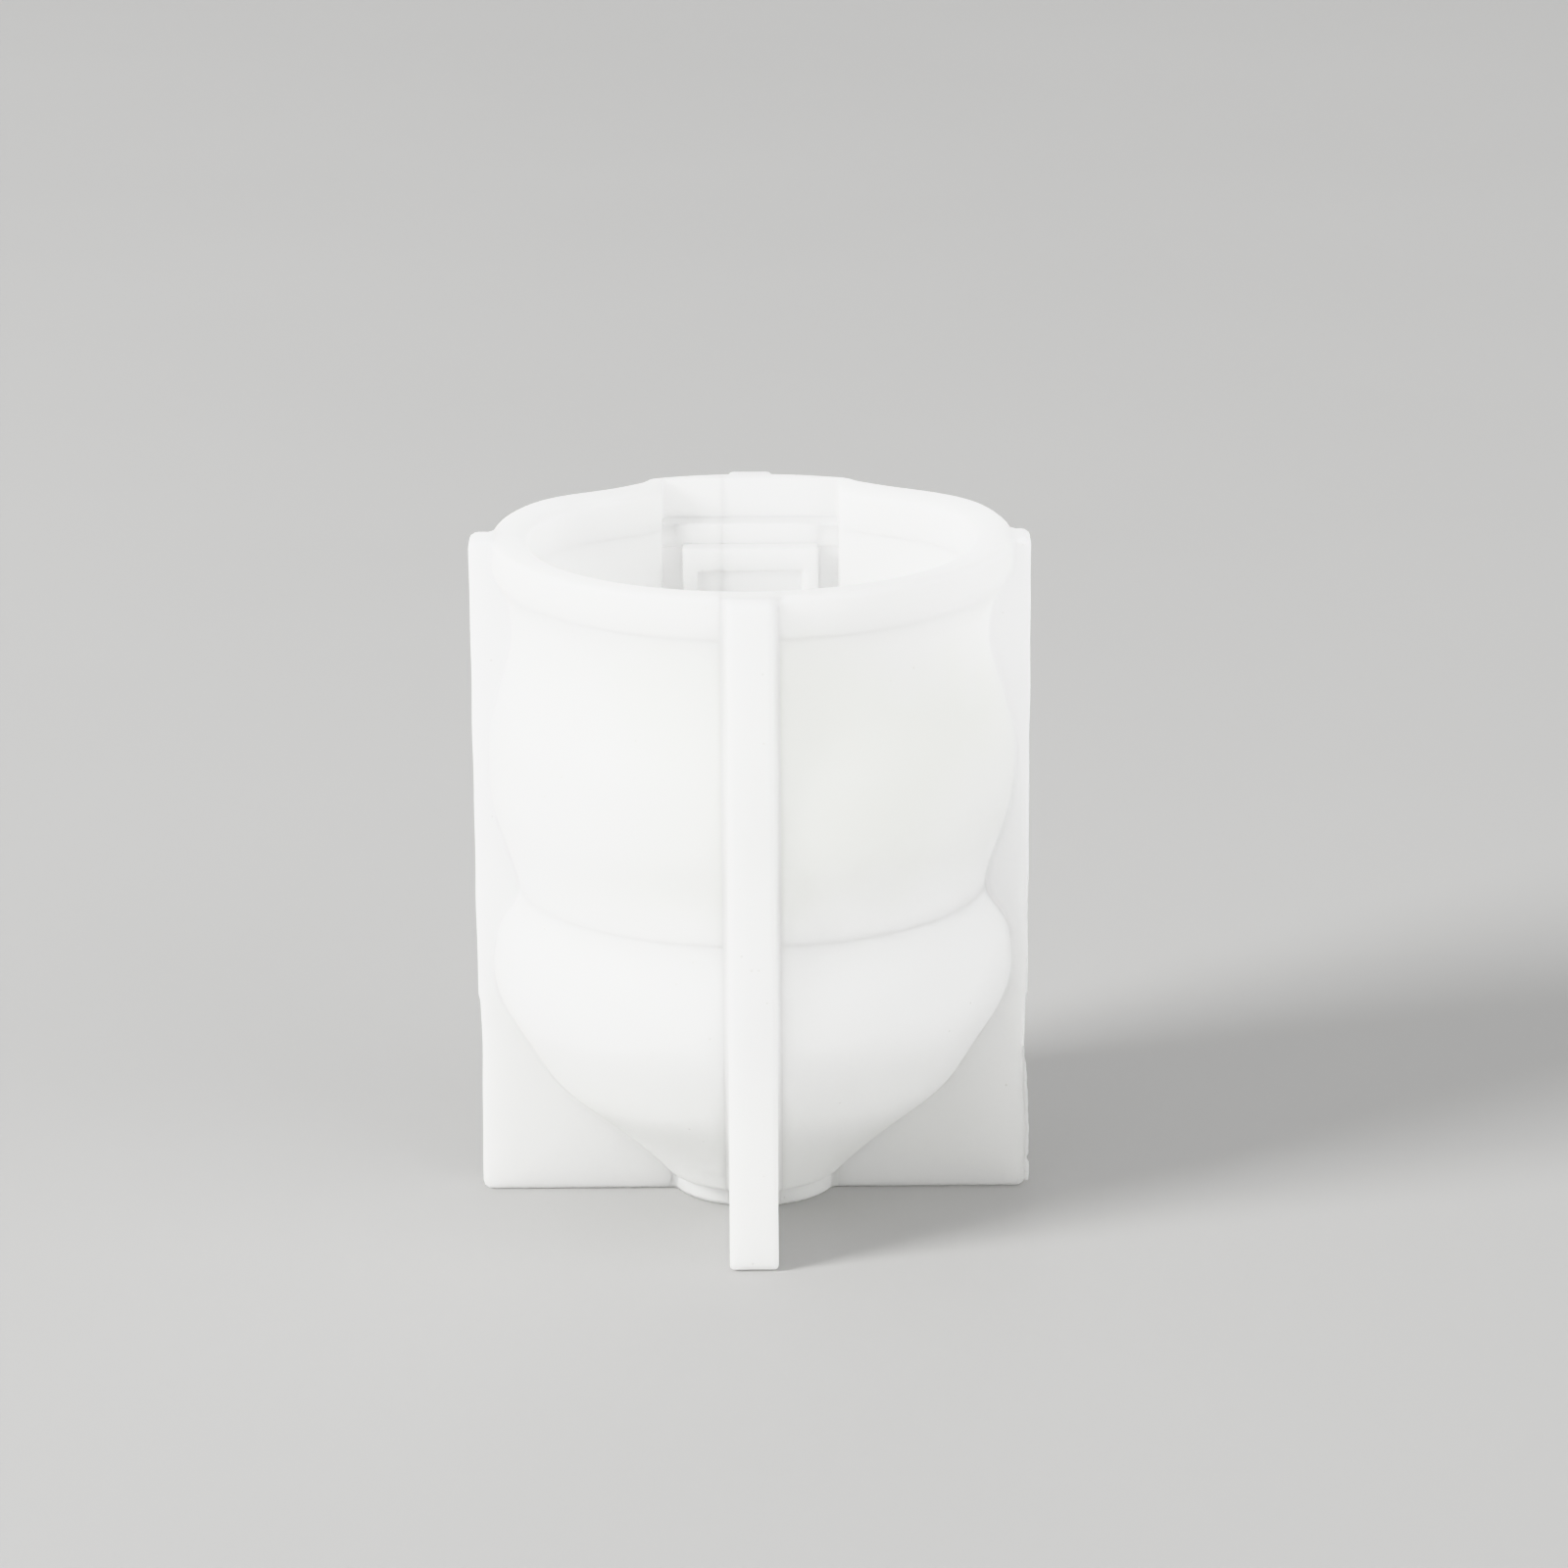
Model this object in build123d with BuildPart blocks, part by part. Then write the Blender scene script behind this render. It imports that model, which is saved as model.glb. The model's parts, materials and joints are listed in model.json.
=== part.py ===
"""Flexible candle mould: a domed, waisted cup that stands mouth-up on four fins.

One silicone casting, divided where it bends and where it is slit. Millimetres,
+Z up, origin on the ground at the centre of the foot, front fin towards -Y.
The cavity is the candle upside down: its base is the mouth, its domed top the foot.
"""
from build123d import *
import os

# Driving dimensions
fin_span = 80.0             # tip to tip across two opposite fins
fin_taper = 0.35            # how much further in a fin's tip is at the ground than at the rim
fin_thickness = 6.9
fin_corner = 1.4            # rounding of the fins' outer corners, top and bottom
mould_height = 97.4
wall_thickness = 3.2        # body wall, between the foot and the collar

# Body outline
foot_radius = 12.0          # where the dome meets the top of the foot disc
foot_height = 3.6
shoulder_z = 31.8           # widest line of the dome
shoulder_radius = 38.0
waist_z = 45.8
waist_radius = 32.8
belly_radius = 37.8
neck_z = 88.6
neck_radius = 34.6
collar_radius = 37.15       # thick band round the mouth
collar_z = 92.5             # full width starts here
collar_joint_z = 91.0       # the collar nodes start here, in the slope under the band
mouth_radius = 31.8
lip_round = 2.8             # inner edge of the mouth
rim_round = 0.8             # outer edge of the mouth

# Porch: stepped recess in the back of the mouth, with a door block below it
porch_width = 26.0
porch_back = 33.3           # y of the first riser
tread_y = 29.5              # y of the second riser
door_y = 26.5               # y of the door's face
door_width = 19.8
first_tread_z = 91.5
second_tread_z = 88.5
door_sill_z = 85.1          # the door leaf is sunk into its frame below this
door_end_z = 64.0           # crown of the door's arch, deep in the cavity
door_leaf_depth = 1.0
door_frame = 2.2

# Foot and slit
disc_radius = 11.8
wick_radius = 1.0           # pierced for the wick
floor_strip_end = 3.0       # the spine's strip of floor passes the centre by this much
fin_to_disc_gap = 0.5       # clearance between the moving fins and the foot disc

half_fin = fin_thickness / 2
fin_tip = fin_span / 2
waist_joint_z = 46.5        # dome nodes end and drum nodes start here
far = 60.0                  # beyond any surface of the mould

body_corners = [
    (foot_radius, foot_height),
    (29.0, 17.4),
    (shoulder_radius, shoulder_z),
    (36.8, 41.1),
    (waist_radius, waist_z),
    (37.7, 59.4),
    (belly_radius, 69.6),
    (33.8, 83.2),
    (neck_radius, neck_z),
]
body_rounds = [15.0, 14.0, 7.7, 4.0, 19.0, 14.0, 12.7]
neck_round = 5.0


def outer_form():
    """The solid that the mould would be with no cavity and no fins."""
    with BuildPart() as form:
        with BuildSketch(Plane.XZ):
            with BuildLine():
                flank = FilletPolyline(*body_corners, (collar_radius, collar_z), radius=[*body_rounds, neck_round])
                Polyline(flank @ 1, (collar_radius, mould_height), (0, mould_height), (0, foot_height), flank @ 0)
            make_face()
            fillet(vertices().group_by(Axis.Y)[-1].sort_by(Axis.X)[-1], rim_round)
        revolve(axis=Axis.Z)
    return form.part


def cavity_form():
    """The candle: the body's outline moved in by the wall, open at the mouth."""
    top = mould_height + 2 * wall_thickness
    mouth_outline = mouth_radius + wall_thickness
    corners = [*body_corners, (mouth_outline, collar_z), (mouth_outline, top)]
    with BuildPart() as form:
        with BuildSketch(Plane.XZ):
            with BuildLine():
                flank = FilletPolyline(*corners, radius=[*body_rounds, neck_round, neck_round])
                Polyline(flank @ 1, (-foot_radius, top), (-foot_radius, foot_height), flank @ 0)
            make_face()
            offset(amount=-wall_thickness)
            with Locations((far / 2, mould_height / 2)):
                Rectangle(far, 2 * mould_height, mode=Mode.INTERSECT)
        revolve(axis=Axis.Z)
    return form.part


def lip_form():
    """The ring cut away to round the inner edge of the mouth."""
    with BuildPart() as ring:
        with BuildSketch(Plane.XZ):
            with BuildLine():
                curve = RadiusArc(
                    (mouth_radius, mould_height - lip_round),
                    (mouth_radius + lip_round, mould_height),
                    lip_round,
                )
                Polyline(curve @ 1, (mouth_radius - 1, mould_height), (mouth_radius - 1, mould_height - lip_round))
                Line((mouth_radius - 1, mould_height - lip_round), curve @ 0)
            make_face()
        revolve(axis=Axis.Z)
    return ring.part


def wall_form(outside, cavity, lip):
    """The whole wall of the casting, with the porch cut into the mouth."""
    with BuildPart() as wall:
        add(outside)
        add(cavity, mode=Mode.SUBTRACT)
        add(lip, mode=Mode.SUBTRACT)
        with BuildSketch(Plane.XY.offset(first_tread_z)):
            with Locations((0, porch_back / 2)):
                Rectangle(porch_width, porch_back)
        extrude(amount=mould_height, mode=Mode.SUBTRACT)
    return wall.part


def block(low, high):
    """A box from its lowest to its highest corner."""
    with BuildPart() as box:
        with BuildSketch(Plane.XY.offset(low[2])):
            with Locations(((low[0] + high[0]) / 2, (low[1] + high[1]) / 2)):
                Rectangle(high[0] - low[0], high[1] - low[1])
        extrude(amount=high[2] - low[2])
    return box.part


def left_zone(low_z, high_z):
    """Everything on the left of the slit and of the front fin."""
    return block((-far, -far, low_z), (-half_fin, far, high_z))


def right_zone(low_z, high_z):
    """The right of the front fin, and behind the spine as far as the slit."""
    with BuildPart() as zone:
        add(block((half_fin, -far, low_z), (far, far, high_z)))
        add(block((-half_fin, floor_strip_end, low_z), (half_fin, far, high_z)))
    return zone.part


def spine_zone(low_z, high_z):
    """The strip behind the front fin, from the rim to just past the centre of the floor."""
    return block((-half_fin, -far, low_z), (half_fin, floor_strip_end, high_z))


def wall_piece(wall, zone, label):
    """One stretch of the wall."""
    with BuildPart() as piece:
        add(wall)
        add(zone, mode=Mode.INTERSECT)
    piece.part.label = label
    return piece.part


def spine_floor(wall, zone):
    """The spine's stretch of dome, pierced for the wick."""
    with BuildPart() as piece:
        add(wall)
        add(zone, mode=Mode.INTERSECT)
        with BuildSketch(Plane.XY):
            Circle(wick_radius)
        extrude(amount=waist_joint_z, mode=Mode.SUBTRACT)
    piece.part.label = "spine_dome"
    return piece.part


def fin(outside, turn, gap, label):
    """An upright fin from the body to its outer edge, in the direction `turn` degrees from +X."""
    plate = Plane.XZ.rotated((0, 0, turn))
    with BuildPart() as piece:
        with BuildSketch(plate):
            with BuildLine():
                Polyline(
                    (0, 0),
                    (fin_tip - fin_taper, 0),
                    (fin_tip, mould_height),
                    (0, mould_height),
                    close=True,
                )
            make_face()
            fillet(vertices().sort_by(Axis.X)[-2:], fin_corner)
        extrude(amount=half_fin, both=True)
        add(outside, mode=Mode.SUBTRACT)
        with BuildSketch(Plane.XY):
            Circle(disc_radius + gap)
        extrude(amount=foot_height, mode=Mode.SUBTRACT)
    piece.part.label = label
    return piece.part


def foot_disc():
    """The round boss under the dome, with its rim eased and the wick hole through it."""
    with BuildPart() as disc:
        with BuildSketch(Plane.XY):
            Circle(disc_radius)
            Circle(wick_radius, mode=Mode.SUBTRACT)
        extrude(amount=foot_height)
    disc.part.label = "foot_disc"
    return disc.part


def porch_form(cavity):
    """The steps and the arched door block, which stand into the cavity."""
    arch_radius = door_width / 2
    arch_z = door_end_z + arch_radius
    leaf_width = door_width - 2 * door_frame
    with BuildPart() as porch:
        add(block((-porch_width / 2, tread_y, arch_z), (porch_width / 2, far, first_tread_z)))
        with BuildSketch(Plane.XZ.offset(-door_y)):
            with Locations((0, (arch_z + second_tread_z) / 2)):
                Rectangle(door_width, second_tread_z - arch_z)
            with Locations((0, arch_z)):
                Circle(arch_radius)
        extrude(amount=-far)
        with BuildSketch(Plane.XZ.offset(-door_y)):
            with Locations((0, (arch_z + door_sill_z) / 2)):
                Rectangle(leaf_width, door_sill_z - arch_z)
            with Locations((0, arch_z)):
                Circle(arch_radius - door_frame)
        extrude(amount=-door_leaf_depth, mode=Mode.SUBTRACT)
        add(cavity, mode=Mode.INTERSECT)
    return porch.part


def main():
    outside = outer_form()
    cavity = cavity_form()
    wall = wall_form(outside, cavity, lip_form())
    porch = porch_form(cavity)

    pieces = [foot_disc(), fin(outside, -90, 0, "front_fin")]
    pieces.append(fin(outside, 180, fin_to_disc_gap, "left_fin"))
    pieces.append(fin(outside, 0, fin_to_disc_gap, "right_fin"))
    pieces.append(fin(outside, 90, fin_to_disc_gap, "rear_fin"))
    zones = {"spine": spine_zone, "left": left_zone, "right": right_zone}
    for side, zone in zones.items():
        pieces.append(wall_piece(wall, zone(collar_joint_z, far + far), f"{side}_collar"))
        pieces.append(wall_piece(wall, zone(waist_joint_z, collar_joint_z), f"{side}_drum"))
    pieces.append(spine_floor(wall, spine_zone(0, waist_joint_z)))
    pieces.append(wall_piece(wall, left_zone(0, waist_joint_z), "left_dome"))
    pieces.append(wall_piece(wall, right_zone(0, waist_joint_z), "right_dome"))
    pieces.append(wall_piece(porch, left_zone(0, mould_height), "left_porch"))
    pieces.append(wall_piece(porch, right_zone(0, mould_height), "right_porch"))

    os.makedirs("parts", exist_ok=True)
    for piece in pieces:
        export_step(piece, f"parts/{piece.label}.step")


main()
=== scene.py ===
"""Looks for the slit candle mould: one soft, milky silicone casting on a pale table."""
import json
import math
import bmesh
import bpy
import numpy as np
from mathutils import Matrix, Vector
from mathutils.bvhtree import BVHTree

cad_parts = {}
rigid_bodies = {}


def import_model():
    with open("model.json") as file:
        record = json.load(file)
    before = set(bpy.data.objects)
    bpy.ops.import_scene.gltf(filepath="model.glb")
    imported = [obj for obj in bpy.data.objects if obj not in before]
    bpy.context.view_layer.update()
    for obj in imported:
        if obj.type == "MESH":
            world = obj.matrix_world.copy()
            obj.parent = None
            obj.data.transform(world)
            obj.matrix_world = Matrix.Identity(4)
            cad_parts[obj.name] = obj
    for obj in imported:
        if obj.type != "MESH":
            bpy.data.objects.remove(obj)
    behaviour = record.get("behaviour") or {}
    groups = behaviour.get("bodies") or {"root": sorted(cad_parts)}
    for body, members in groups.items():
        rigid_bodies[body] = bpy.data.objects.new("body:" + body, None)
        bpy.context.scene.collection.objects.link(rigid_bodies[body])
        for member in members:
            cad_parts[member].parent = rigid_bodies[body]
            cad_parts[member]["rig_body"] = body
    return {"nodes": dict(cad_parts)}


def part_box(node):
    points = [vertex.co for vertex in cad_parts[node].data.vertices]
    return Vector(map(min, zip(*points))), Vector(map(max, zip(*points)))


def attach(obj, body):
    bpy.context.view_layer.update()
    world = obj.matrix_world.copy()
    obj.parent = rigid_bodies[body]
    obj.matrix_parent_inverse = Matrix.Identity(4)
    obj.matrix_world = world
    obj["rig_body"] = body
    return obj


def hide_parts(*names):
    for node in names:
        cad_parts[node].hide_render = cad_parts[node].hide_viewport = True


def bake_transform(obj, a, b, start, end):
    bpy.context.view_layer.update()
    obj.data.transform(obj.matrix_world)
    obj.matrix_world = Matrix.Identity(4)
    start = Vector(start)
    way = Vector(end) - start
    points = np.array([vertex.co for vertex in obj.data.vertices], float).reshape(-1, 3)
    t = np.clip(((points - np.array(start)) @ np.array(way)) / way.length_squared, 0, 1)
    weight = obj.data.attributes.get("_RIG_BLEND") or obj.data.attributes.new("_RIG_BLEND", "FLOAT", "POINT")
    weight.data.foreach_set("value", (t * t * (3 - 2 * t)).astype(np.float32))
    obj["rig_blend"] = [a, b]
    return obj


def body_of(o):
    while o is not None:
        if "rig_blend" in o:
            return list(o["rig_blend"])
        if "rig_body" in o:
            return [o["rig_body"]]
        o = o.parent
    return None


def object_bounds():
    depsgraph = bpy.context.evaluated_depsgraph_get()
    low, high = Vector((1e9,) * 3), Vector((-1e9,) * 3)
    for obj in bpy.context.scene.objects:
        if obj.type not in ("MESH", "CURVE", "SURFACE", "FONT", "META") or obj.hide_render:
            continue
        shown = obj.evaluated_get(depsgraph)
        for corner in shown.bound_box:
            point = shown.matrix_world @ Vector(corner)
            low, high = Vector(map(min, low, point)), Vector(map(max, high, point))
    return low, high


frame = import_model()
CAD_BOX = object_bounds()

MM = 0.001
COARSE, FINE = 0.66, 0.4        # mm, the two spacings of the grid that the casting is meshed on
FINS = {"front_fin": (0, -1), "rear_fin": (0, 1), "left_fin": (-1, 0), "right_fin": (1, 0)}

# ---------------------------------------------------------------- sizes read from the frame, in mm
HEIGHT = CAD_BOX[1].z / MM
FIN_TIP = CAD_BOX[1].x / MM
FIN_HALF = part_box("front_fin")[1].x / MM
DISC_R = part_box("foot_disc")[1].x / MM
DISC_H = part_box("foot_disc")[1].z / MM
WAIST_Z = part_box("left_dome")[1].z / MM
TREAD_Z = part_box("right_porch")[1].z / MM
DOOR_END_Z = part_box("right_porch")[0].z / MM
DOOR_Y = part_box("right_porch")[0].y / MM
STRIP_END_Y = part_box("spine_dome")[1].y / MM
PORCH_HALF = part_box("right_porch")[1].x / MM
COLLAR_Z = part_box("left_collar")[0].z / MM

# ---------------------------------------------------------------- finer shape, in mm
FIN_TAPER = 0.35                # a fin's tip leans in by this much from the rim to the ground
FIN_DRAFT = 0.3                 # and its side by this much from the ground to the rim
FIN_EDGE = 0.7                  # rounding along its upright edges
FIN_CORNER = 1.4                # rounding of its top and bottom corners
FIN_ROOT = 0.7                  # fillet where it meets the wall
CUT_X = FIN_HALF + FIN_ROOT     # the pieces part here, at the edge of the fillets, and so does the slit
PARTING_Z = 29.0                # where the two halves of the casting's own mould met on the side fins
BOW_Z, BOW_REACH = 20.5, 7.0    # the side fins' edges bow in a little about this height

PORCH_BACK_Y = 33.3             # the porch's first riser; the lower ones stand further into the cup
TREAD_Y = 29.5
ALCOVE_Y = 30.0                 # the alcove behind the door block is a little deeper than the tread
SECOND_TREAD_Z = TREAD_Z - 3.0
SILL_Z = TREAD_Z - 6.4          # top of the sunk door leaf
DOOR_HALF = 9.9
DOOR_FRAME = 2.2
DOOR_LEAF_DEPTH = 1.0
STEP_EDGE = 0.35                # rounding of the porch's corners
LEAF_EDGE = 0.2
EMBED = 0.5                     # the tread runs this far into its neighbours

FLOOR_Z = 6.8
FLOOR_ROUND = 2.0
WICK_R = 1.0
LIP_ROUND = 2.8                 # the lip rolls into the cup over this much width and half as much height
RIM_ROUND = 0.9
CUP_EDGE = 0.3                  # every other edge where the cup opens
WALL_FOOT, DISC_EDGE, DISC_ROOT, GROUND_EDGE = 0.6, 0.5, 0.4, 0.4   # small rounds about the foot disc

SAG_START_Z = COLLAR_Z - 7      # the collar is out of round from here up
SAG_EDGE = 22                   # degrees each side of the back, where the rim steps in beside the porch
PROFILE_STEP = 0.3              # spacing of the heights at which the wall's outline is read

FLASH_TOP_Z, FLASH_FOOT_Z = 21.5, 0.8   # the strip of flash on the right fin
FLASH_THICK = 0.3
FLASH_Y = -2.9
TEAR_Z, NOTCH_Z = 2.6, 4.4      # where it is torn outwards and nicked


def outline(from_outside, low):
    """Heights and radii of the wall's outer or inner face, read off the left half's CAD nodes by rays that
    pass clear of the fins."""
    graph = bpy.context.evaluated_depsgraph_get()
    names = ("left_dome", "left_drum", "left_collar")
    trees = [BVHTree.FromObject(frame["nodes"][n], graph) for n in names]
    slant = math.radians(35)
    away = Vector((-math.cos(slant), -math.sin(slant), 0))
    reach = 0.1
    heights, radii = [], []
    for z in np.arange(low + 0.1, HEIGHT - LIP_ROUND, PROFILE_STEP):
        axis = Vector((0, 0, z * MM))
        if from_outside:
            hits = [t.ray_cast(axis + away * reach, -away, reach)[0] for t in trees]
        else:
            hits = [t.ray_cast(axis, away, reach)[0] for t in trees]
        found = [math.hypot(h.x, h.y) / MM for h in hits if h is not None]
        if found:
            heights.append(z)
            radii.append(found[0])
    return np.array(heights), np.array(radii)


def soften(radii, reach):
    """A running mean over `reach` neighbours each way, as a soft casting never keeps a crisp crease."""
    weights = np.ones(2 * reach + 1) / (2 * reach + 1)
    return np.convolve(np.pad(radii, reach, mode="edge"), weights, mode="valid")


OUT_Z, OUT_R = outline(True, DISC_H)
SOFT_R = soften(np.maximum(soften(OUT_R, 32), OUT_R), 8)    # front and back: shallower waist and neck
OUT_R = soften(OUT_R, 3)
IN_Z, IN_R = outline(False, FLOOR_Z)


def profile_distance(r, z, heights, radii):
    """Roughly how far a point is outside a turned outline."""
    slope = np.gradient(radii, heights)
    lean = 1 / np.sqrt(1 + slope**2)
    return (r - np.interp(z, heights, radii)) * np.interp(z, heights, lean)


# ---------------------------------------------------------------- solids as distances, in mm
def join_round(a, b, radius):
    """Union of two solids, with a fillet in the corner between them."""
    inside = np.hypot(np.maximum(radius - a, 0), np.maximum(radius - b, 0))
    return np.maximum(radius, np.minimum(a, b)) - inside


def meet_round(a, b, radius):
    """Intersection of two solids, with the shared edge rounded."""
    outside = np.hypot(np.maximum(radius + a, 0), np.maximum(radius + b, 0))
    return np.minimum(-radius, np.maximum(a, b)) + outside


def slab(v, low, high):
    """Distance outside the space between two levels."""
    return np.maximum(low - v, v - high)


def smooth_step(v, low, high):
    """0 below low, 1 above high, and a smooth rise between."""
    t = np.clip((v - low) / (high - low), 0, 1)
    return t * t * (3 - 2 * t)


def rim_offset(angle):
    """How far the collar stands out of round at each angle: the soft rim has sagged in beside the porch."""
    def bump(at, width):
        gap = np.degrees(np.angle(np.exp(1j * (angle - math.radians(at)))))
        return np.exp(-((gap / width) ** 2))

    past_porch = smooth_step(np.abs(np.degrees(angle) - 90), SAG_EDGE, SAG_EDGE + 5)
    sag = -2.8 * bump(126, 14) - 1.7 * bump(55, 14)
    return sag * past_porch + 0.6 * bump(30, 12) + 0.25 * np.sin(3 * angle + 0.7)


def outer_side(p):
    """Distance outside the wall's turned face, with the rim's sag and a casting's slight unevenness."""
    x, y, z = p[..., 0], p[..., 1], p[..., 2]
    angle = np.arctan2(y, x)
    sag = rim_offset(angle) * smooth_step(z, SAG_START_Z, COLLAR_Z)
    uneven = 0.10 * np.sin(0.21 * z + 3 * angle) + 0.08 * np.sin(0.13 * z - 5 * angle + 1)
    radius = np.hypot(x, y) - sag - uneven
    crisp = profile_distance(radius, z, OUT_Z, OUT_R)
    soft = profile_distance(radius, z, OUT_Z, SOFT_R)
    return crisp + (soft - crisp) * np.abs(np.sin(angle)) ** 1.3


def cavity_side(p):
    """Distance outside the cavity's turned face."""
    x, y, z = p[..., 0], p[..., 1], p[..., 2]
    sag = rim_offset(np.arctan2(y, x)) * smooth_step(z, SAG_START_Z, COLLAR_Z)
    return profile_distance(np.hypot(x, y) - 0.8 * sag, z, IN_Z, IN_R)


def arched(x, z, half):
    """A doorway's outline: straight jambs above a round end, open at the top."""
    return np.hypot(x, np.minimum(z - DOOR_END_Z - DOOR_HALF, 0)) - half


def porch(p):
    """The tread below the recess, and the door block with its sunk leaf, which stand proud inside the cup."""
    x, y, z = p[..., 0], p[..., 1], p[..., 2]
    tread = meet_round(np.abs(x) - PORCH_HALF - EMBED, TREAD_Y - y, STEP_EDGE)
    tread = meet_round(tread, slab(z, SECOND_TREAD_Z - EMBED, TREAD_Z), STEP_EDGE)
    door = meet_round(arched(x, z, DOOR_HALF), DOOR_Y - y, STEP_EDGE)
    door = meet_round(door, z - SECOND_TREAD_Z, STEP_EDGE)
    leaf = meet_round(arched(x, z, DOOR_HALF - DOOR_FRAME), y - DOOR_Y - DOOR_LEAF_DEPTH, STEP_EDGE)
    leaf = meet_round(leaf, z - SILL_Z, STEP_EDGE)
    return meet_round(np.minimum(tread, door), -leaf, LEAF_EDGE)


def hollow(p):
    """The space inside the cup: its turned cavity, the recess in the back of the rim, and the alcove."""
    x, y, z = p[..., 0], p[..., 1], p[..., 2]
    cup = meet_round(cavity_side(p), FLOOR_Z - z, FLOOR_ROUND)
    recess = meet_round(np.abs(x) - PORCH_HALF, y - PORCH_BACK_Y, 2 * STEP_EDGE)
    recess = np.maximum(recess, np.maximum(TREAD_Z - 1 - z, -y))
    alcove = np.maximum(meet_round(arched(x, z, PORCH_HALF), y - ALCOVE_Y, STEP_EDGE), -y)
    return np.minimum(cup, np.minimum(recess, alcove))


def fin_tip(z, outward):
    """How far a fin reaches out at each height, with a casting's slight unevenness. The side fins step in
    below the parting line."""
    ox, oy = outward
    step = 0.2 * (1 - smooth_step(z, PARTING_Z - 0.3, PARTING_Z + 0.3))
    bow = 0.28 * np.exp(-(((z - BOW_Z) / BOW_REACH) ** 2))
    uneven = 0.06 + 0.06 * np.sin(0.37 * z + 2 * ox) * np.sin(0.11 * z + oy)
    return FIN_TIP - FIN_TAPER * (1 - z / HEIGHT) - abs(ox) * (step + bow) - uneven


def fin(p, outward):
    """Distance outside one upright plate."""
    ox, oy = outward
    z = p[..., 2]
    along = p[..., 0] * ox + p[..., 1] * oy
    across = p[..., 0] * oy - p[..., 1] * ox
    plate = meet_round(along - fin_tip(z, outward), slab(z, 0, HEIGHT), FIN_CORNER)
    plate = meet_round(plate, np.abs(across) - FIN_HALF + FIN_DRAFT * z / HEIGHT, FIN_EDGE)
    return np.maximum(plate, -along)


def casting(p):
    """Distance outside the whole mould: the turned wall, foot disc and fins, less the cup."""
    z, r = p[..., 2], np.hypot(p[..., 0], p[..., 1])
    solid = meet_round(outer_side(p), DISC_H - z, WALL_FOOT)
    disc = meet_round(r - DISC_R, slab(z, 0, DISC_H + 1), DISC_EDGE)
    solid = join_round(solid, disc, DISC_ROOT)
    for outward in FINS.values():
        solid = join_round(solid, fin(p, outward), FIN_ROOT)
    solid = meet_round(solid, z - HEIGHT, RIM_ROUND)
    solid = meet_round(solid, -z, GROUND_EDGE)
    lip = meet_round(2 * (z - HEIGHT), -cavity_side(p), LIP_ROUND)
    solid = np.where(z > HEIGHT - 2 * LIP_ROUND, np.maximum(solid, lip), solid)
    cup = np.maximum(hollow(p), -porch(p))
    solid = meet_round(solid, -cup, CUP_EDGE)
    return np.maximum(solid, WICK_R - r)


# ---------------------------------------------------------------- meshing
def spaced(low, fine_low, fine_high, high):
    """Grid positions from low to high, closer together between the two fine limits."""
    marks = [low - 1.5 * COARSE, fine_low, fine_high, high + 1.5 * COARSE]
    steps = [COARSE, FINE, COARSE]
    runs = [
        np.linspace(a, b, max(1, math.ceil((b - a) / step)), endpoint=False)
        for a, b, step in zip(marks, marks[1:], steps)
    ]
    return np.append(np.concatenate(runs), marks[-1])


def grid_mesh(distance, axes):
    """Vertices and quads of a solid's surface: one vertex in each grid cell that the surface crosses."""
    field = distance(np.stack(np.meshgrid(*axes, indexing="ij"), -1))
    inside = field < 0
    count = np.zeros([n - 1 for n in field.shape])
    total = np.zeros((*count.shape, 3))
    for axis in range(3):
        a = np.moveaxis(field, axis, 0)
        s = np.moveaxis(inside, axis, 0)
        crossed = s[1:] != s[:-1]
        t = np.where(crossed, a[:-1] / np.where(crossed, a[:-1] - a[1:], 1), 0)
        crossed = np.moveaxis(crossed, 0, axis)
        t = np.moveaxis(t, 0, axis)
        others = [k for k in range(3) if k != axis]
        for du in (0, 1):
            for dv in (0, 1):
                pick = [slice(None)] * 3
                pick[others[0]] = slice(du, field.shape[others[0]] - 1 + du)
                pick[others[1]] = slice(dv, field.shape[others[1]] - 1 + dv)
                c = crossed[tuple(pick)]
                count += c
                total[..., axis] += np.where(c, t[tuple(pick)], 0)
                total[..., others[0]] += du * c
                total[..., others[1]] += dv * c
    cells = np.argwhere(count > 0)
    number = np.full(count.shape, -1)
    index = tuple(cells.T)
    number[index] = np.arange(len(cells))
    corner = np.stack([axis[i] for axis, i in zip(axes, index)], -1)
    size = np.stack([np.diff(axis)[i] for axis, i in zip(axes, index)], -1)
    verts = corner + size * total[index] / count[index][:, None]
    quads = []
    for axis in range(3):
        u, v = [(1, 2), (2, 0), (0, 1)][axis]
        s = np.moveaxis(inside, axis, 0)
        crossed = np.moveaxis(s[1:] != s[:-1], 0, axis)
        edges = np.argwhere(crossed)
        step_u, step_v = np.eye(3, dtype=int)[u], np.eye(3, dtype=int)[v]
        ring = [edges - step_u - step_v, edges - step_v, edges, edges - step_u]
        ring = np.stack([number[tuple(r.T)] for r in ring], 1)
        outward = inside[tuple(edges.T)]
        ring[~outward] = ring[~outward][:, ::-1]
        quads.append(ring)
    return verts, np.concatenate(quads)


def slopes(points, distance, eps):
    """The direction in which the distance grows, at each point."""
    steps = eps * np.eye(3)
    return np.stack([(distance(points + step) - distance(points - step)) / (2 * eps) for step in steps], -1)


def settle(verts, distance, reach, rounds=4):
    """Moves vertices onto the surface along the distance's slope, no further than reach."""
    start = verts.copy()
    for _ in range(rounds):
        slope = slopes(verts, distance, 0.02)
        step = distance(verts)[:, None] * slope / np.maximum((slope**2).sum(-1, keepdims=True), 0.25)
        verts = start + np.clip(verts - step - start, -reach, reach)
    return verts


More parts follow.
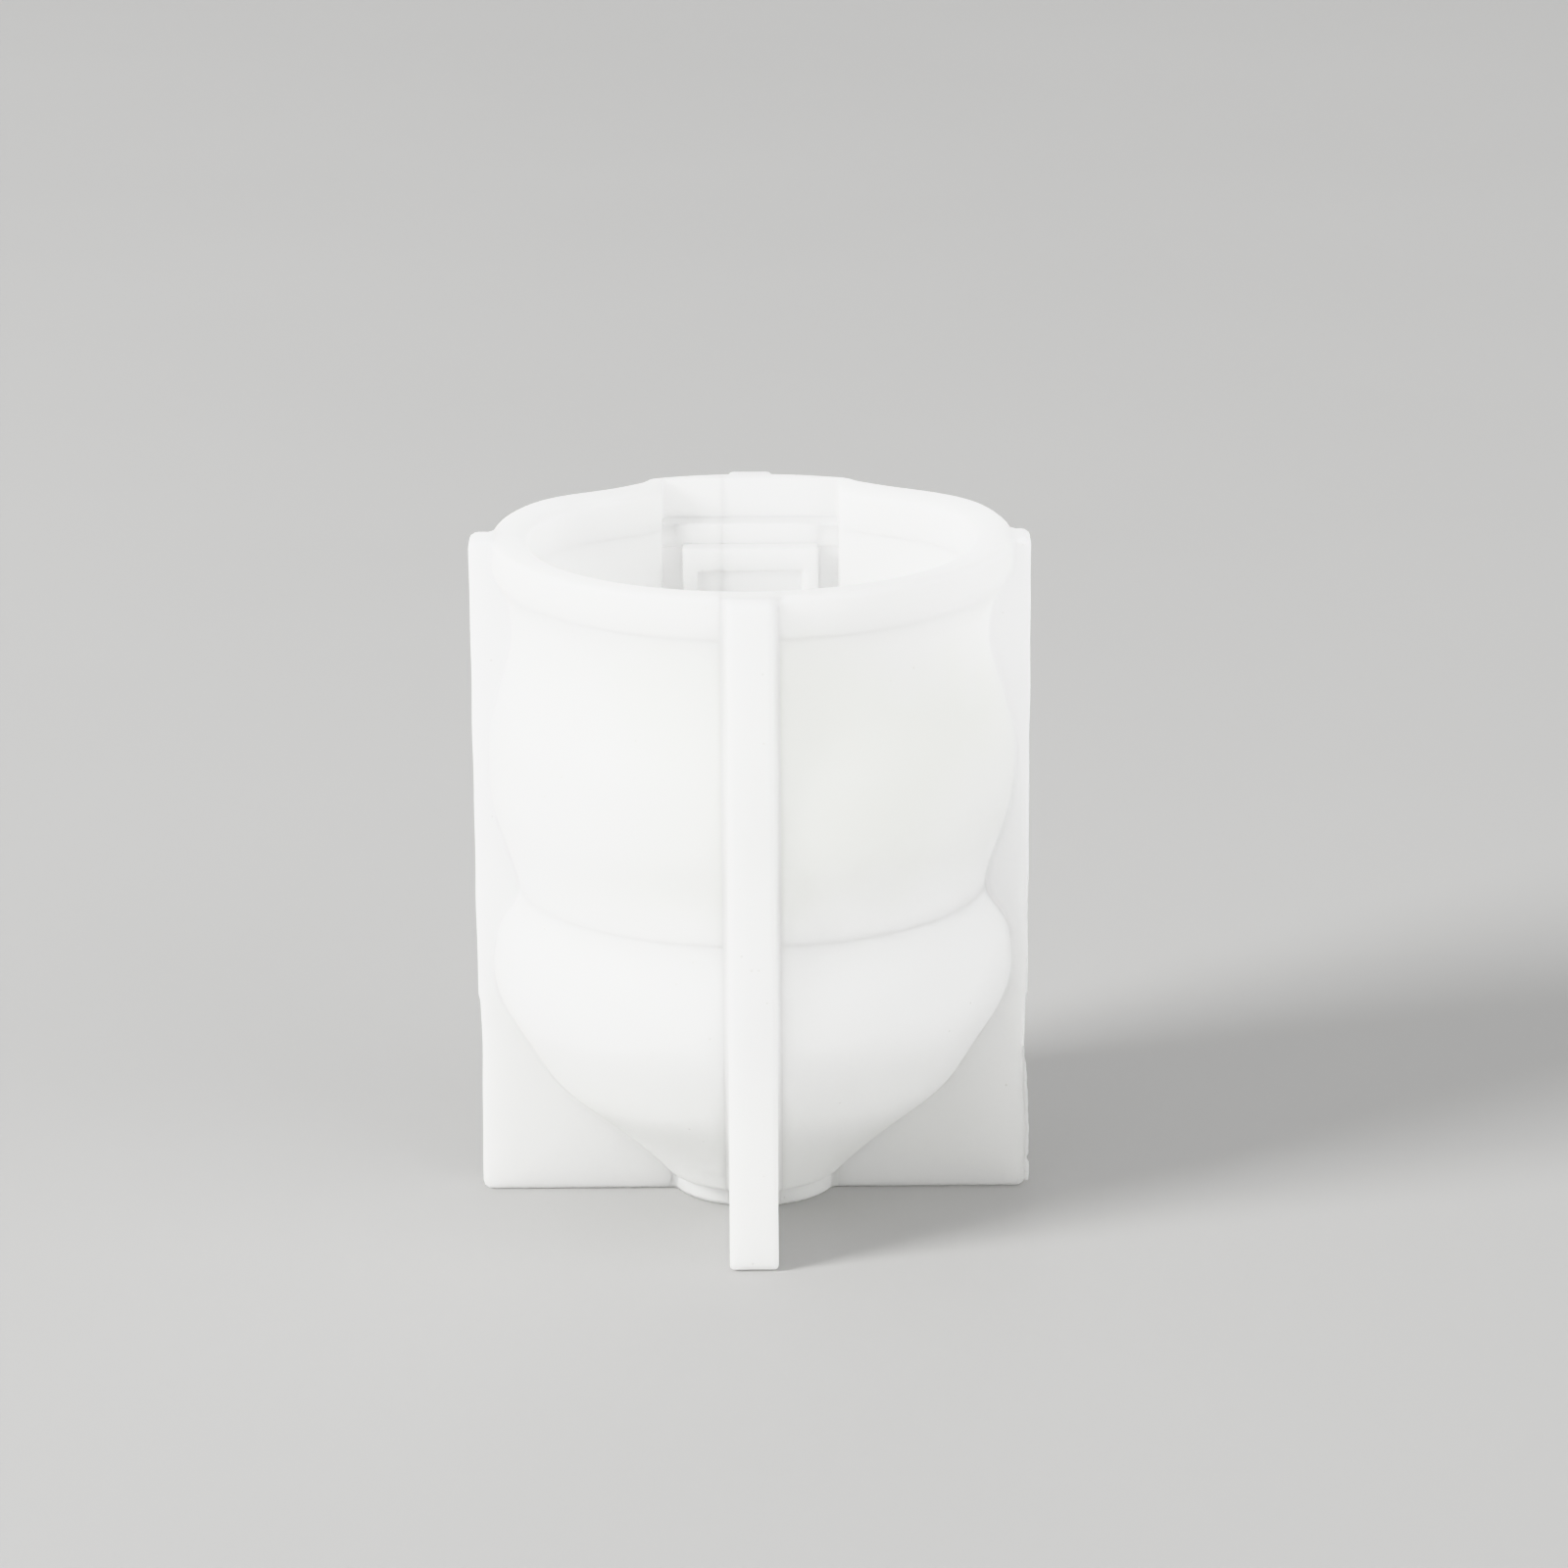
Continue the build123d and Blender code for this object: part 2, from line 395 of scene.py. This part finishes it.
def split_at(bm, point, normal, keep_all=True):
    """Cuts every face that crosses a plane, given by a point in mm. With keep_all off, the side that the
    normal points to is taken away and the cut is closed."""
    geom = [*bm.verts, *bm.edges, *bm.faces]
    made = bmesh.ops.bisect_plane(
        bm, geom=geom, dist=1e-7, plane_co=Vector(point) * MM, plane_no=normal, clear_outer=not keep_all
    )
    if not keep_all:
        rim = [e for e in made["geom_cut"] if isinstance(e, bmesh.types.BMEdge) and e.is_boundary]
        bmesh.ops.holes_fill(bm, edges=rim, sides=0)


def shade(mesh):
    """Smooth normals taken from the casting's own formula, so that neighbouring pieces shade as one surface,
    and flat ones on the slit's cut faces."""
    corners = np.empty(len(mesh.loops), int)
    mesh.loops.foreach_get("vertex_index", corners)
    slope = slopes(np.array([v.co for v in mesh.vertices]) / MM, casting, 0.05)
    slope /= np.maximum(np.linalg.norm(slope, axis=-1, keepdims=True), 1e-9)
    normals = slope[corners]
    for face in mesh.polygons:
        face.use_smooth = True
        around = slice(face.loop_start, face.loop_start + face.loop_total)
        if face.loop_total > 8 or (normals[around] @ np.array(face.normal)).min() < 0.3:
            normals[around] = face.normal
    mesh.normals_split_custom_set(normals.tolist())


# ---------------------------------------------------------------- materials
class Nodes:
    """Short calls for building a node tree."""

    def __init__(self, tree):
        self.tree = tree
        self.at = self.new("ShaderNodeTexCoord").outputs

    def new(self, kind, **settings):
        node = self.tree.nodes.new(kind)
        for name, value in settings.items():
            setattr(node, name, value)
        return node

    def put(self, socket, value):
        if isinstance(value, bpy.types.NodeSocket):
            self.tree.links.new(value, socket)
        else:
            socket.default_value = value

    def math(self, operation, *values):
        node = self.new("ShaderNodeMath", operation=operation)
        for socket, value in zip(node.inputs, values):
            self.put(socket, value)
        return node.outputs[0]

    def xyz(self):
        node = self.new("ShaderNodeSeparateXYZ")
        self.put(node.inputs[0], self.at["Object"])
        return node.outputs

    def noise(self, scale, detail):
        node = self.new("ShaderNodeTexNoise")
        self.put(node.inputs["Vector"], self.at["Object"])
        self.put(node.inputs["Scale"], scale)
        self.put(node.inputs["Detail"], detail)
        return node.outputs["Fac"]

    def between(self, value, low, high, to_low=0.0, to_high=1.0):
        node = self.new("ShaderNodeMapRange", interpolation_type="SMOOTHSTEP")
        names = ("Value", "From Min", "From Max", "To Min", "To Max")
        for name, v in zip(names, (value, low, high, to_low, to_high)):
            self.put(node.inputs[name], v)
        return node.outputs[0]

    def blend(self, factor, first, second):
        node = self.new("ShaderNodeMix", data_type="RGBA")
        for socket, value in zip([node.inputs[0], node.inputs[6], node.inputs[7]], (factor, first, second)):
            self.put(socket, value)
        return node.outputs[2]


def silicone(name, clear, cloudy, add_painted_shade):
    """Milky silicone: it scatters part of the light inside itself and lets the rest glow through. Its colour
    drifts between a clear and a cloudy white and towards painted shade, with grains of dust on its skin."""
    mat = bpy.data.materials.new(name)
    mat.use_nodes = True
    shader = mat.node_tree.nodes["Principled BSDF"]
    n = Nodes(mat.node_tree)
    colour = n.blend(n.between(n.noise(38, 3), 0.42, 0.6), clear, cloudy)
    # painted shade laid over the colour
    colour = add_painted_shade(n, colour)
    grain = n.new("ShaderNodeTexVoronoi")
    n.put(grain.inputs["Vector"], n.at["Object"])
    n.put(grain.inputs["Scale"], 380.0)
    picked = n.math("GREATER_THAN", grain.outputs["Color"], 0.74)
    speck = n.math("MULTIPLY", picked, n.between(grain.outputs["Distance"], 0.04, 0.09, 1.0, 0.0))
    dusty = n.blend(n.math("MULTIPLY", speck, 0.5), colour, (0.45, 0.44, 0.41, 1))
    n.put(shader.inputs["Base Color"], dusty)
    n.put(shader.inputs["Roughness"], n.between(n.noise(160, 3), 0.35, 0.65, 0.42, 0.58))
    n.put(shader.inputs["IOR"], 1.41)
    n.put(shader.inputs["Specular IOR Level"], 0.4)
    n.put(shader.inputs["Subsurface Weight"], 1.0)
    n.put(shader.inputs["Subsurface Radius"], (1.0, 1.0, 1.0))
    n.put(shader.inputs["Subsurface Scale"], 0.003)
    bump = n.new("ShaderNodeBump")
    n.put(bump.inputs["Strength"], 0.25)
    n.put(bump.inputs["Distance"], 0.0004)
    height = n.math("ADD", n.math("MULTIPLY", n.noise(900, 3), 0.12), n.noise(150, 2))
    n.put(bump.inputs["Height"], n.math("ADD", height, n.math("MULTIPLY", speck, 0.4)))
    n.put(shader.inputs["Normal"], bump.outputs[0])
    glow = n.new("ShaderNodeBsdfTranslucent")
    n.put(glow.inputs["Color"], colour)
    n.put(glow.inputs["Normal"], bump.outputs[0])
    mix = n.new("ShaderNodeMixShader")
    n.put(mix.inputs["Fac"], 0.5)
    n.put(mix.inputs[1], shader.outputs[0])
    n.put(mix.inputs[2], glow.outputs[0])
    n.put(mat.node_tree.nodes["Material Output"].inputs["Surface"], mix.outputs[0])
    return mat


def wall_painted_shade(n, colour):
    """Painted shade, in a duller and faintly green white: across the drum's front, where the milky wall lets
    less light through, most on the right, away from the key light, and less so at the dome's foot, near the
    ground.
    """
    x, y, z = n.xyz()
    drift = n.math("MULTIPLY", n.math("SUBTRACT", n.noise(30, 3), 0.5), 0.06)
    up, side = n.math("ADD", z, drift), n.math("SUBTRACT", x, drift)
    front = n.between(y, -0.012, 0.0, 1.0, 0.0)
    drum = n.math("MULTIPLY", n.between(up, 0.044, 0.054), n.between(up, 0.082, 0.092, 1.0, 0.0))
    drum = n.math("MULTIPLY", drum, n.between(side, -0.030, -0.012))
    drum = n.math("MULTIPLY", drum, n.between(side, 0.022, 0.034, 1.0, 0.3))
    right = n.between(side, -0.004, 0.012, 0.6, 1.0)
    foot = n.between(up, 0.014, 0.032, 0.45, 0.0)
    # painted shade on the drum's front, strongest on the right side, away from the key light
    painted_shade = n.math("MULTIPLY", n.math("MULTIPLY", drum, front), right)
    # the painted shade's colour, a duller and faintly green white, also laid on the dome's foot
    return n.blend(n.math("MAXIMUM", painted_shade, foot), colour, (0.935, 0.94, 0.918, 1))


def plate_painted_shade(n, colour):
    """Painted shade: the fins are a little greyer towards the ground, the right one, shaded from the key
    light, most.
    """
    x, _, z = n.xyz()
    foot = n.between(z, 0.0, 0.08, 1.0, 0.0)
    right = n.between(x, 0.01, 0.03, 0.7, 1.0)
    # painted shade towards the ground, strongest on the right fin
    return n.blend(n.math("MULTIPLY", foot, right), colour, (0.88, 0.88, 0.872, 1))


def tabletop():
    """A plain pale grey, a little uneven."""
    mat = bpy.data.materials.new("tabletop")
    mat.use_nodes = True
    shader = mat.node_tree.nodes["Principled BSDF"]
    n = Nodes(mat.node_tree)
    greys = (0.505, 0.503, 0.497, 1), (0.525, 0.523, 0.517, 1)
    n.put(shader.inputs["Base Color"], n.blend(n.noise(6, 3), *greys))
    n.put(shader.inputs["Roughness"], 0.6)
    n.put(shader.inputs["Specular IOR Level"], 0.2)
    return mat


WALL = silicone("silicone_wall", (0.98, 0.98, 0.98, 1), (0.965, 0.965, 0.962, 1), wall_painted_shade)
PLATE = silicone("silicone_plate", (0.97, 0.97, 0.973, 1), (0.955, 0.955, 0.957, 1), plate_painted_shade)


# ---------------------------------------------------------------- pieces
BEND_START = (0, -8.86, 65.1)   # mm: the mould opens only past this line, towards the back of the rim
BEND_END = (0, 37.0, 97.4)
SKIN = 0.35                     # faces this near the wall's outer side belong to a fin that stands there
BORDERS = (                     # a point on each plane that pieces part at, and the plane's normal
    ((CUT_X, 0, 0), (1, 0, 0)),
    ((0, CUT_X, 0), (0, 1, 0)),
    ((0, -CUT_X, 0), (0, 1, 0)),
    ((0, STRIP_END_Y, 0), (0, 1, 0)),
    ((0, 0, COLLAR_Z), (0, 0, 1)),
    ((0, 0, WAIST_Z), (0, 0, 1)),
    ((0, 0, DISC_H), (0, 0, 1)),
)


def nodes_at(points):
    """The name of the CAD node that each point of the casting's surface stands for."""
    x, y, z = points.T
    half = np.where(x < -CUT_X, "left", np.where((x < CUT_X) & (y < STRIP_END_Y), "spine", "right"))
    zone = np.where(z > COLLAR_Z, "_collar", np.where(z > WAIST_Z, "_drum", "_dome"))
    names = np.char.add(half, zone).astype("U20")
    on_porch = (np.abs(porch(points)) < 0.12) & (cavity_side(points) < -0.1)
    names[on_porch] = np.where(x < -CUT_X, "left_porch", "right_porch")[on_porch]
    outer = outer_side(points)
    for name, (ox, oy) in FINS.items():
        across, along = x * oy - y * ox, x * ox + y * oy
        names[(np.abs(across) < CUT_X) & (along > 0) & (outer > -SKIN)] = name
    names[(np.hypot(x, y) < DISC_R + 0.2) & (z < DISC_H)] = "foot_disc"
    return names


def add(name, data):
    """Puts new data into the scene as an object."""
    thing = bpy.data.objects.new(name, data)
    bpy.context.scene.collection.objects.link(thing)
    return thing


def mesh_casting():
    """The whole skin of the mould, on a grid that is finer about the porch."""
    axes = [
        spaced(-FIN_TIP, -PORCH_HALF - 1, PORCH_HALF + 1, FIN_TIP),
        spaced(-FIN_TIP, DOOR_Y - 1, PORCH_BACK_Y + 2, FIN_TIP),
        spaced(0, DOOR_END_Z - 2, HEIGHT - 0.1, HEIGHT),
    ]
    verts, quads = grid_mesh(casting, axes)
    verts = settle(verts, casting, FINE)
    mesh = bpy.data.meshes.new("casting")
    mesh.from_pydata((verts * MM).tolist(), [], quads.tolist())
    return mesh


def part_skin(bm):
    """Copies of the skin, one for each CAD node, that keep only the faces that stand for that node."""
    bm.faces.ensure_lookup_table()
    centres = np.array([f.calc_center_median() for f in bm.faces]) / MM
    names = nodes_at(centres)
    sideways = np.array([abs(f.normal.x) > 0.999 for f in bm.faces])
    cap = sideways & (np.abs(centres[:, 0] + CUT_X) < 1e-3)
    uncut = cap & (centres[:, 1] < STRIP_END_Y)
    names[uncut] = ""
    for name in np.unique(names[~uncut]):
        part = bm.copy()
        part.faces.ensure_lookup_table()
        gone = [f for f, n in zip(part.faces, names) if n != name]
        bmesh.ops.delete(part, geom=gone, context="FACES")
        yield name, part


def add_pieces():
    """Cuts the casting open at the slit and parts its skin into the pieces that the CAD nodes name. Only the
    slit's faces are closed: elsewhere neighbours share an edge, as the real mould is one casting."""
    casting_mesh = mesh_casting()
    parts = {}
    for facing in (1, -1):
        bm = bmesh.new()
        bm.from_mesh(casting_mesh)
        split_at(bm, (-CUT_X, 0, 0), (facing, 0, 0), keep_all=False)
        for point, normal in BORDERS:
            split_at(bm, point, normal)
        for name, part in part_skin(bm):
            parts.setdefault(name, []).append(part)
        bm.free()
    for name, skins in parts.items():
        add_piece(name, skins)


def add_piece(node, skins):
    """One visible piece, in place of the CAD node it is named after. On a half, it stays with the spine up to
    the bend's start and turns with the half beyond."""
    mesh = bpy.data.meshes.new(node + "_cast")
    whole = bmesh.new()
    for skin in skins:
        skin.to_mesh(mesh)
        skin.free()
        whole.from_mesh(mesh)
    bmesh.ops.remove_doubles(whole, verts=whole.verts, dist=2e-8)
    whole.to_mesh(mesh)
    whole.free()
    shade(mesh)
    piece = add(mesh.name, mesh)
    mesh.materials.append(PLATE if node in FINS else WALL)
    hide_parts(node)
    body = body_of(frame["nodes"][node])[0]
    if body == "spine":
        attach(piece, body)
    else:
        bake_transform(piece, "spine", body, [v * MM for v in BEND_START], [v * MM for v in BEND_END])


def flash_section(bm, z):
    """The four corners of the flash strip at one height: its root is sunk in the fin, its edge is ragged."""
    torn = math.exp(-(((z - TEAR_Z) / 0.9) ** 2))
    width = 0.45 * float(smooth_step(FLASH_TOP_Z - z, 0, 5))
    width += 0.05 * math.sin(2.3 * z) * math.sin(0.9 * z)
    width += 0.35 * torn - 0.3 * math.exp(-(((z - NOTCH_Z) / 0.5) ** 2)) * (width > 0.3)
    tip = float(fin_tip(z, FINS["right_fin"]))
    root, edge = tip - 0.7, min(tip + width, FIN_TIP - 0.03)
    y = FLASH_Y + 0.25 * math.sin(0.8 * z) - 0.5 * torn
    corners = (
        (root, FLASH_Y, z),
        (edge, y - FLASH_THICK / 2, z),
        (edge, y + FLASH_THICK / 2, z),
        (root, FLASH_Y + FLASH_THICK, z),
    )
    return [bm.verts.new(Vector(corner) * MM) for corner in corners]


def add_flash():
    """The strip of flash left down the lower edge of the right fin, torn at its foot."""
    bm = bmesh.new()
    rings = [flash_section(bm, z) for z in np.linspace(FLASH_TOP_Z, FLASH_FOOT_Z, 60)]
    for above, below in zip(rings, rings[1:]):
        for k in range(4):
            bm.faces.new((above[k], below[k], below[k - 1], above[k - 1]))
    bm.faces.new(rings[0])
    bm.faces.new(rings[-1][::-1])
    bmesh.ops.recalc_face_normals(bm, faces=bm.faces)
    mesh = bpy.data.meshes.new("right_fin_flash")
    bm.to_mesh(mesh)
    bm.free()
    mesh.materials.append(PLATE)
    flash = add(mesh.name, mesh)
    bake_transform(flash, "spine", "right_half", [v * MM for v in BEND_START], [v * MM for v in BEND_END])


add_pieces()
add_flash()

# ---------------------------------------------------------------- camera, table and light
TARGET = Vector((0, 0, 0.047))      # metres: what the camera looks at, and from how far
DISTANCE = 1.0038
LENS = 159.8                        # mm, on a 36 mm sensor
CAMERA_FROM = (-89.886, 16.58)      # degrees, azimuth and elevation
PAN, TILT, ROLL = math.radians(-0.267), math.radians(0.724), math.radians(-0.412)
TABLE_HALF = 6.0
KEY_FROM, KEY_AWAY, KEY_STRENGTH = (209, 28), 3.0, 0.98
FILL_FROM, FILL_STRENGTH = (-35, 12), 0.34
SKY_STRENGTH = 0.52                 # overhead; it rises by 1 towards the horizon


def direction(azimuth, elevation):
    """Unit vector from the mould towards a compass azimuth, from +X to +Y, and an elevation, in degrees."""
    a, e = math.radians(azimuth), math.radians(elevation)
    return Vector((math.cos(a) * math.cos(e), math.sin(a) * math.cos(e), math.sin(e)))


def add_camera():
    """The camera in front of the mould and above its rim, turned slightly off its centre."""
    data = bpy.data.cameras.new("camera")
    data.sensor_width = 36
    data.lens = LENS
    data.clip_end = 50
    camera = add("camera", data)
    back = direction(*CAMERA_FROM)
    camera.location = TARGET + back * DISTANCE
    aim = Matrix.Rotation(PAN, 3, "Y") @ Matrix.Rotation(TILT, 3, "X") @ Matrix.Rotation(ROLL, 3, "Z")
    camera.rotation_euler = (back.to_track_quat("Z", "Y").to_matrix() @ aim).to_euler()
    bpy.context.scene.camera = camera


def add_table():
    """The flat surface that the mould stands on."""
    data = bpy.data.meshes.new("table")
    corners = [(x * TABLE_HALF, y * TABLE_HALF, 0) for x, y in ((-1, -1), (1, -1), (1, 1), (-1, 1))]
    data.from_pydata(corners, [], [(0, 1, 2, 3)])
    data.materials.append(tabletop())
    add("table", data)


def add_lights():
    """A round softbox from the left and a very wide and low fill from the front right."""
    key_from, fill_from = direction(*KEY_FROM), direction(*FILL_FROM)
    key = bpy.data.lights.new("key", "AREA")
    key.shape = "DISK"
    key.size = 2 * KEY_AWAY * math.tan(math.radians(11))
    key.energy = KEY_STRENGTH * (math.pi * KEY_AWAY) ** 2
    lamp = add("key", key)
    lamp.location = key_from * KEY_AWAY
    lamp.rotation_euler = key_from.to_track_quat("Z", "Y").to_euler()
    fill = bpy.data.lights.new("fill", "SUN")
    fill.angle = math.radians(60)
    fill.energy = FILL_STRENGTH * math.pi
    add("fill", fill).rotation_euler = fill_from.to_track_quat("Z", "Y").to_euler()


def add_sky():
    """A white sky, brighter near the horizon."""
    world = bpy.data.worlds.new("studio")
    bpy.context.scene.world = world
    world.use_nodes = True
    n = Nodes(world.node_tree)
    split = n.new("ShaderNodeSeparateXYZ")
    n.put(split.inputs[0], n.at["Generated"])
    height = split.outputs["Z"]
    low = n.math("POWER", n.math("SUBTRACT", 1.0, n.math("MULTIPLY", height, height)), 4.0)
    background = world.node_tree.nodes["Background"]
    n.put(background.inputs["Strength"], n.math("ADD", low, SKY_STRENGTH))
    n.put(background.inputs["Color"], (1, 1, 1, 1))


add_camera()
add_table()
add_lights()
add_sky()
bpy.context.scene.view_settings.view_transform = "Khronos PBR Neutral"
